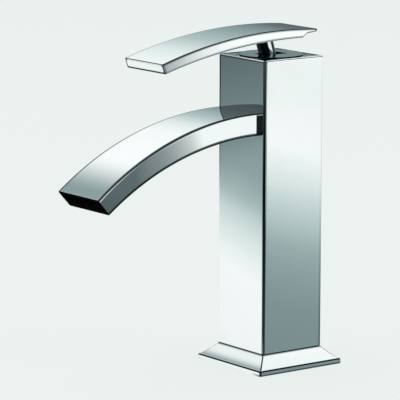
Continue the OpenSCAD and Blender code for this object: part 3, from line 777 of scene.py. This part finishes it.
def makePlinth():
    p = plinth
    top, topHalf, steps = p["height"] - p["topDrop"], p["topHalf"] - p["topInset"], p["skirtSteps"]
    rings = [circleLoop(p["hole"], 0.0), circleLoop(p["hole"], top),
             boxLoop(topHalf, topHalf, p["mitre"], top)]
    first = len(rings)
    inset, least = p["skirtCorner"]
    atRim = drawnIn(p["corner"], inset, 1.0, least)
    for i in range(steps, 0, -1):
        half, z = skirtPoint(i / steps)
        share = (1 - i / steps) ** p["mitreFade"]
        rings.append(boxLoop(half, half, tuple(p["mitre"] + (r - p["mitre"]) * share for r in atRim), z))
    crown = len(rings)

    def rimLoop(inset, drop):
        radii = drawnIn(p["corner"], inset, 0.6, p["cornerLeast"])
        return boxLoop(p["half"] - inset, p["half"] - inset, radii, p["rim"] - drop)

    rings += topEdge(rimLoop, p["rimEdge"])
    foot = len(rings)
    rings += [rimLoop(0.0, p["rim"] - z) for z in p["footRings"]] + [rimLoop(p["footEdge"], p["rim"])]
    for half, z in ((p["sealOuter"], 0.0), (p["sealOuter"], p["sealDepth"]),
                    (p["sealInner"], p["sealDepth"]), (p["sealInner"], 0.0)):
        rings.append(boxLoop(half, half, p["sealCorner"], z))
    # painted reflection: dark lines painted on the top's border, the rim's rounded edge, the mitred corners
    # and the foot rings
    lines = {first: p["topLine"], **markEdge(crown, p["rimLine"])}
    lines.update({foot + i: p["footLines"] for i in (1, 2, 3)})
    shell = skin("plinthShell", rings, True, lines, (p["cornerLine"],) * 4, angle=p["crisp"])
    above = p["height"] + p["cutPast"]
    outline = ((onAxis, -p["cutPast"]), (p["screwHead"], -p["cutPast"]), (p["screwHead"], p["headDepth"]),
               (p["screwHole"], p["countersink"]), (p["screwHole"], above), (onAxis, above))
    places = [(x * p["screwPlace"], y * p["screwPlace"], 0) for x in (-1, 1) for y in (-1, 1)]
    sinks = [turnedPiece("sink", outline, Matrix.Translation(place), p["sinkSteps"]) for place in places]
    cutAway(shell, sinks, p["crisp"])
    finishPiece(shell, "still", "chrome_shell", "base_plinth")


makePlinth()
print("plinth made")

# Spout: sections from the column out to the mouth, each a rounded oblong between two arcs
spout = {
    "rootY": -22.5, "arcY": -26.0, "arcZ": -30.9, "arcR": 192.6, "sweep": 38.32, "underY": -25.6,
    "underZ": -38.8, "underR": 186.0, "lean": 41.6, "rootHalf": 18.5, "flare": 2.6, "edge": 1.3,
    "rim": 0.55, "rimCorner": 1.025, "rimEdge": 0.25, "rimStep": 0.1, "stepBack": 0.15, "endBack": 0.4,
    "pocket": 10.0, "sunk": 0.25, "steps": 56, "crisp": 25, "cornerLine": (0.95, 0.95, 0.8, 1.0),
    "hem": 0.6, "hems": ((0, 0), (1.0, 0), (0, 0), (0, 0.9))}


def arcPoint(y, z, radius, turn):
    return Vector((y - radius * sin(turn), z + radius * cos(turn)))


def spoutTip():
    s = spout
    return arcPoint(s["arcY"], s["arcZ"], s["arcR"], radians(s["sweep"]))


def arcMeet(point, lean, centre, radius):
    # where a line that falls from a point, leaning back, first meets a circle, in the plane of Y and Z
    lean = radians(lean)
    way = (sin(lean), -cos(lean))
    dx, dz = point[0] - centre[0], point[1] - centre[1]
    b = dx * way[0] + dz * way[1]
    t = -b - sqrt(b * b - (dx * dx + dz * dz - radius * radius))
    return point[0] + t * way[0], point[1] + t * way[1]


def spoutEnds():
    # angles of the lower arc at the column and at the mouth
    s = spout
    low = arcMeet(spoutTip(), s["lean"], (s["underY"], s["underZ"]), s["underR"])
    start = asin((s["underY"] - s["rootY"]) / s["underR"])
    return start, asin((s["underY"] - low[0]) / s["underR"])


def widen(x, reach, edge, half):
    # moves a point of a loop that is reach wide at each side to one that is half wide, with its edges kept
    if abs(x) > reach - edge:
        return x + copysign(1, x) * (half - reach)
    return x * (half - edge) / (reach - edge)


def halfAt(y):
    s = spout
    return s["rootHalf"] + s["flare"] * (s["rootY"] - y) / (s["rootY"] - spoutTip()[0])


def spoutSection(share, inset, back=0.0, edge=None):
    # one loop: its line runs from the upper arc to the lower arc, and it can be drawn in and moved back
    s = spout
    edge = s["edge"] if edge is None else edge
    first = asin((s["arcY"] - s["rootY"]) / s["arcR"])
    turn = radians(s["sweep"]) - first
    share -= back / s["arcR"] / turn
    start, end = spoutEnds()
    high = arcPoint(s["arcY"], s["arcZ"], s["arcR"], first + turn * share)
    low = arcPoint(s["underY"], s["underZ"], s["underR"], start + (end - start) * share)
    down = (low - high).normalized()
    length = (low - high).length
    points = []
    for x, v, _ in boxLoop(s["rootHalf"], length / 2 - inset, edge, 0, hem=s["hem"]):
        spot = high + down * (length / 2 - v)
        points.append((widen(x, s["rootHalf"], edge, halfAt(spot.x) - inset), spot.x, spot.y))
    return points


def makeSpout():
    s = spout
    end, edge = s["endBack"], s["rimEdge"]
    rings = [[(x, s["rootY"] + s["sunk"], z) for x, y, z in spoutSection(0, 0)]]
    rings += [spoutSection(i / s["steps"], 0) for i in range(s["steps"])]
    rings.append(spoutSection(1, 0, end + edge))
    for a in quarter[1:]:
        rings.append(spoutSection(1, edge * (1 - cos(a)), end + edge * (1 - sin(a)),
                                  s["edge"] - edge * 0.5))
    for inset, back in ((0, 0), (s["rimStep"], s["stepBack"]), (s["rimStep"], s["pocket"])):
        rings.append(spoutSection(1, s["rim"] + inset, end + back, s["rimCorner"]))
    # painted reflection: the corner lines and hems paint dark lines along the spout's rounded edges
    shell = skin("spoutShell", rings, False, None, s["cornerLine"], s["hems"], s["crisp"])
    finishPiece(shell, "still", "chrome_shell", "spout")


makeSpout()
print("spout made")

# Flow straightener: a black plate of small square cells that fills the mouth
straightener = {
    "gap": 0.12, "depth": 8.5, "columns": 15, "rows": 4, "wall": 0.55, "cellDepth": 6.0, "border": 1.6,
    "gridCorner": 0.1, "edge": 0.3, "flange": 0.1, "flangeBack": 0.38, "crisp": 28}


def makeStraightener():
    s, p = spout, straightener
    inner, edge = s["rim"] + s["rimStep"] + p["gap"], p["edge"]
    rings = [spoutSection(1, inner, back, s["rimCorner"]) for back in (p["depth"], p["flangeBack"])]
    rings.append(spoutSection(1, p["flange"], p["flangeBack"]))
    for a in quarter:
        rings.append(spoutSection(1, p["flange"] + edge * (1 - cos(a)), edge * (1 - sin(a)),
                                  s["edge"] - edge * a / pi))
    shell = skin("flowStraightener", rings, False, angle=p["crisp"])
    # the face that looks out of the mouth makes way for a grid, whose cells are pushed in
    bm = bmesh.new()
    bm.from_mesh(shell.data)
    face = max(bm.faces, key=lambda f: (f.normal.y < 0 and f.normal.z < 0) * f.calc_area())
    ring = spoutSection(1, p["border"], 0.0, p["gridCorner"])
    xs = [v[0] for v in ring]
    high, low = max(ring, key=lambda v: v[2]), min(ring, key=lambda v: v[2])
    inward = -face.normal * p["cellDepth"] * mm
    bmesh.ops.delete(bm, geom=[face], context="FACES_ONLY")
    edges = [e for e in bm.edges if e.is_boundary]
    nx, nv = p["columns"], p["rows"]
    grid = [[bm.verts.new(Vector((min(xs) + (max(xs) - min(xs)) * i / nx,
                                  high[1] + (low[1] - high[1]) * j / nv,
                                  high[2] + (low[2] - high[2]) * j / nv)) * mm)
             for j in range(nv + 1)] for i in range(nx + 1)]
    cells = [bm.faces.new((grid[i][j], grid[i + 1][j], grid[i + 1][j + 1], grid[i][j + 1]))
             for i in range(nx) for j in range(nv)]
    rim = [e for e in bm.edges if e.is_boundary and e not in edges]
    bmesh.ops.bridge_loops(bm, edges=edges + rim)
    bmesh.ops.recalc_face_normals(bm, faces=bm.faces)
    bmesh.ops.inset_individual(bm, faces=cells, thickness=p["wall"] / 2 * mm, depth=0)
    for f in bmesh.ops.extrude_discrete_faces(bm, faces=cells)["faces"]:
        bmesh.ops.translate(bm, vec=inward, verts=f.verts)
    bm.to_mesh(shell.data)
    bm.free()
    settle(shell, p["crisp"])
    finishPiece(shell, "still", "black_plastic", "outlet_insert")


makeStraightener()
print("flow straightener made")

# Top disc: its middle stands a little proud, and the slot for the lever's neck goes through it
topDisc = {
    "radius": 21.3, "bottom": 190.7, "top": 194.6, "raised": 20.0, "border": 193.7, "foot": 0.1,
    "edge": 0.3, "underEdge": 0.2, "paintedEdgeShade": 1.0, "borderLine": 0.3, "slotLine": 0.8, "slotHalfX": 5.8,
    "slotHalfY": 9.0, "slotCorner": 0.6, "slotEdge": 0.3, "seat": 10.97, "seatDepth": 0.6}


def makeTopDisc():
    d = topDisc

    def atSlot(inset, drop):
        out = d["slotEdge"] - inset
        return boxLoop(d["slotHalfX"] + out, d["slotHalfY"] + out, d["slotCorner"] + out, d["top"] - drop)

    floor = d["bottom"] + d["seatDepth"]
    rings = [circleLoop(d["seat"], d["bottom"]), circleLoop(d["seat"], floor),
             boxLoop(d["slotHalfX"], d["slotHalfY"], d["slotCorner"], floor)]
    first = len(rings)
    rings += [atSlot(d["slotEdge"] * cos(a), d["slotEdge"] * (1 - sin(a))) for a in quarter]
    second = len(rings)
    rings += topEdge(lambda inset, drop: circleLoop(d["raised"] - inset, d["top"] - drop), d["edge"], 4)
    third = len(rings)
    rings += [circleLoop(d["raised"], d["border"]), circleLoop(d["raised"] + d["foot"], d["border"])]
    rings += topEdge(lambda inset, drop: circleLoop(d["radius"] - inset, d["border"] - drop), d["edge"], 4)
    rings += [circleLoop(d["radius"], d["bottom"] + d["underEdge"]),
              circleLoop(d["radius"] - d["underEdge"], d["bottom"])]
    # painted shade: dark lines on the slot's edge, the raised middle's edge and the border, and the slot's
    # walls and seat painted black where shade falls
    lines = {**markEdge(first, d["slotLine"], 4), **markEdge(second, d["paintedEdgeShade"], 4),
             **markEdge(third + 2, d["borderLine"], 4), third + 6: d["borderLine"]}
    lines.update({k: 1.0 for k in (first - 2, first - 1, first, second + 4, third)})
    finishPiece(skin("topDiscShell", rings, True, lines), "turning", "chrome_shell", "top_disc")


makeTopDisc()
print("top disc made")

# Lever: a curved slab, thin at its tail, on a round neck
lever = {
    "tipY": -97.1, "backY": 21.8, "topY": -5.0, "topZ": 211.398, "topR": 305.0, "underY": 4.8,
    "underZ": 205.27, "underR": 352.8, "backHalf": 18.25, "tipHalf": 19.5, "tipLean": 19.0,
    "tailSpots": (20.7, 19.0, 16.0), "tailStart": 13.9, "tailZ": 207.6, "tailEndZ": 208.5, "lip": 0.4,
    "slope": 35.0, "edge": 0.8, "thinEdge": 0.8, "endEdge": 0.45, "steps": 60, "crisp": 25, "endLine": 0.9,
    "tailLines": (0.9, 0.6), "cornerLine": (0.95, 0.6, 0.6, 0.6), "hem": 0.45,
    "hems": ((0.5, 0), (0.95, 0), (0, 0), (0, 0.5)), "tipHems": (0.7, 1.1),
    "tipLines": (0.2, 0.9, 1.0, 0.9), "tipCorners": (0.2, 0.9, 1.0, 0.3)}


def leverTop(y):
    v = lever
    return v["topZ"] - v["topR"] + sqrt(v["topR"] ** 2 - (y - v["topY"]) ** 2)


def leverArc(y):
    v = lever
    return v["underZ"] - v["underR"] + sqrt(v["underR"] ** 2 - (y - v["underY"]) ** 2)


def leverSlope(y):
    # the step between the thin tail and the arc
    v = lever
    return v["tailZ"] - (v["tailStart"] - y) * tan(radians(v["slope"]))


def leverUnder(y):
    v = lever
    if y >= v["tailStart"]:
        share = (y - v["tailStart"]) / (v["backY"] + v["lip"] - v["tailStart"])
        return v["tailZ"] + (v["tailEndZ"] - v["tailZ"]) * share
    return max(leverArc(y), leverSlope(y))


def leverSection(high, low, inset=0, push=0):
    # one loop across the slab from its top point to its underside point, both as (y, z)
    v = lever
    high, low = Vector(high), Vector(low)
    down = (low - high).normalized()
    length = (low - high).length
    edge = min(v["edge"], v["thinEdge"] * (length / 2 - inset))
    out = Vector((down.y, -down.x))
    points = []
    for x, w, _ in boxLoop(v["backHalf"], length / 2 - inset, edge, 0, hem=v["hem"]):
        spot = high + down * (length / 2 - w) + out * push
        share = (v["backY"] - spot.x) / (v["backY"] - v["tipY"])
        half = v["backHalf"] + (v["tipHalf"] - v["backHalf"]) * share - inset
        points.append((widen(x, v["backHalf"], edge, half), spot.x, spot.y))
    return points


def makeLever():
    v = lever
    tip = (v["tipY"], leverTop(v["tipY"]))
    tipLow = arcMeet(tip, v["tipLean"], (v["underY"], v["underZ"] - v["underR"]), v["underR"])
    kinkY = v["tailStart"]
    while leverSlope(kinkY) > leverArc(kinkY):
        kinkY -= 0.01
    end, back = v["endEdge"], v["backY"] - v["endEdge"]
    high, low = (back, leverTop(back)), (back, leverUnder(back))
    rings = [leverSection(high, low, end * (1 - cos(a)), -end * sin(a)) for a in reversed(quarter)]
    for y in (*v["tailSpots"], v["tailStart"] + 0.01, kinkY):
        rings.append(leverSection((y, leverTop(y)), (y, leverUnder(y))))
    for i in range(1, v["steps"]):
        share = i / v["steps"]
        y, lowY = kinkY + (v["tipY"] - kinkY) * share, kinkY + (tipLow[0] - kinkY) * share
        rings.append(leverSection((y, leverTop(y)), (lowY, leverUnder(lowY))))
    first = len(rings)
    rings += [leverSection(tip, tipLow, end * (1 - cos(a)), -end * (1 - sin(a))) for a in quarter]
    rings += [leverSection(tip, tipLow, end + hem) for hem in v["tipHems"]]
    # painted reflection: dark lines painted along the tail end, the rear of the top, the tip and the slab's
    # corners
    lines = {**markEdge(first, v["endLine"], 4), **markEdge(0, v["endLine"], 4), 0: None,
             4: v["tailLines"][0], 5: v["tailLines"][1],
             first + 4: v["tipLines"], first + 5: v["tipLines"], first + 6: None}
    bends = [v["cornerLine"]] * len(rings)
    bends[first + 4] = bends[first + 5] = v["tipCorners"]
    slab = skin("leverSlab", rings, False, lines, bends, v["hems"], v["crisp"])
    finishPiece(slab, "tilting", "chrome_shell", "lever")


# Neck: shade is the painted edge shade round it, as (angle, share)
neck = {
    "pivot": 185.0, "lean": 17.0, "radius": 5.35, "bottom": 8.0, "top": 21.6, "upperRing": 18.6,
    "edge": 0.3, "pocketHalf": 2.75, "pocketTop": 17.9, "pocketCorner": 0.2, "screwZ": 13.0, "screwR": 2.02,
    "screwStart": 0.5, "cutPast": 1.0, "steps": 96, "holeSteps": 40,
    "shade": ((195, 0.0), (212, 1.0), (338, 1.0), (344, 0.0), (361, 0.0), (368, 1.0), (420, 1.0),
              (440, 0.0))}


def shadeNeck(body):
    # painted shade: the side towards the spout is painted dark with one bright strip left bare, as if it
    # mirrored the dark slot round it
    layer = body.data.attributes["paintedEdgeShade"]
    stops = neck["shade"]
    lean = sin(radians(neck["lean"]))
    for i, v in enumerate(body.data.vertices):
        y = v.co.y + (v.co.z - neck["pivot"] * mm) * lean
        turn = degrees(atan2(y, v.co.x)) % 360
        turn += 360 if turn < 90 else 0
        share = 0.0
        for (low, a), (high, b) in zip(stops, stops[1:]):
            if low <= turn <= high:
                share = a + (b - a) * (turn - low) / (high - low)
        layer.data[i].value = share


def makeNeck():
    n = neck
    place = Matrix.Translation((0, 0, n["pivot"])) @ Matrix.Rotation(radians(n["lean"]), 4, "X")
    outline = [(onAxis, n["bottom"])]
    for a in quarter:
        outline.append((n["radius"] - n["edge"] * (1 - sin(a)),
                        n["bottom"] + n["edge"] * (1 - cos(a))))
    outline += [(n["radius"], n["upperRing"]), (n["radius"], n["top"]), (onAxis, n["top"])]
    body = turnedPiece("leverNeck", outline, place, n["steps"])
    side = place @ Matrix.Translation((0, 0, n["screwZ"])) @ Matrix.Rotation(radians(-90), 4, "X")
    start, past = n["screwStart"], n["radius"] + n["cutPast"]
    outline = [(onAxis, start), (n["screwR"], start), (n["screwR"], past), (onAxis, past)]
    hole = turnedPiece("screwHole", outline, side, n["holeSteps"])
    h = n["pocketHalf"]
    rings = [[tuple(place @ Vector(q)) for q in boxLoop(h, h, n["pocketCorner"], z, 4, 3)]
             for z in (n["bottom"] - n["cutPast"], n["pocketTop"])]
    cutAway(body, [hole, skin("neckPocket", rings, False)])
    shadeNeck(body)
    finishPiece(body, "tilting", "chrome_shell")


makeLever()
makeNeck()
print("lever made")

# every CAD node that is still shown gets the finish of its slot
for part in frame["record"]["subparts"]:
    obj = frame["nodes"][part["node"]]
    obj.data.materials.clear()
    obj.data.materials.append(finishes[part["material_slot"]])
print("CAD pieces painted", len(frame["nodes"]))
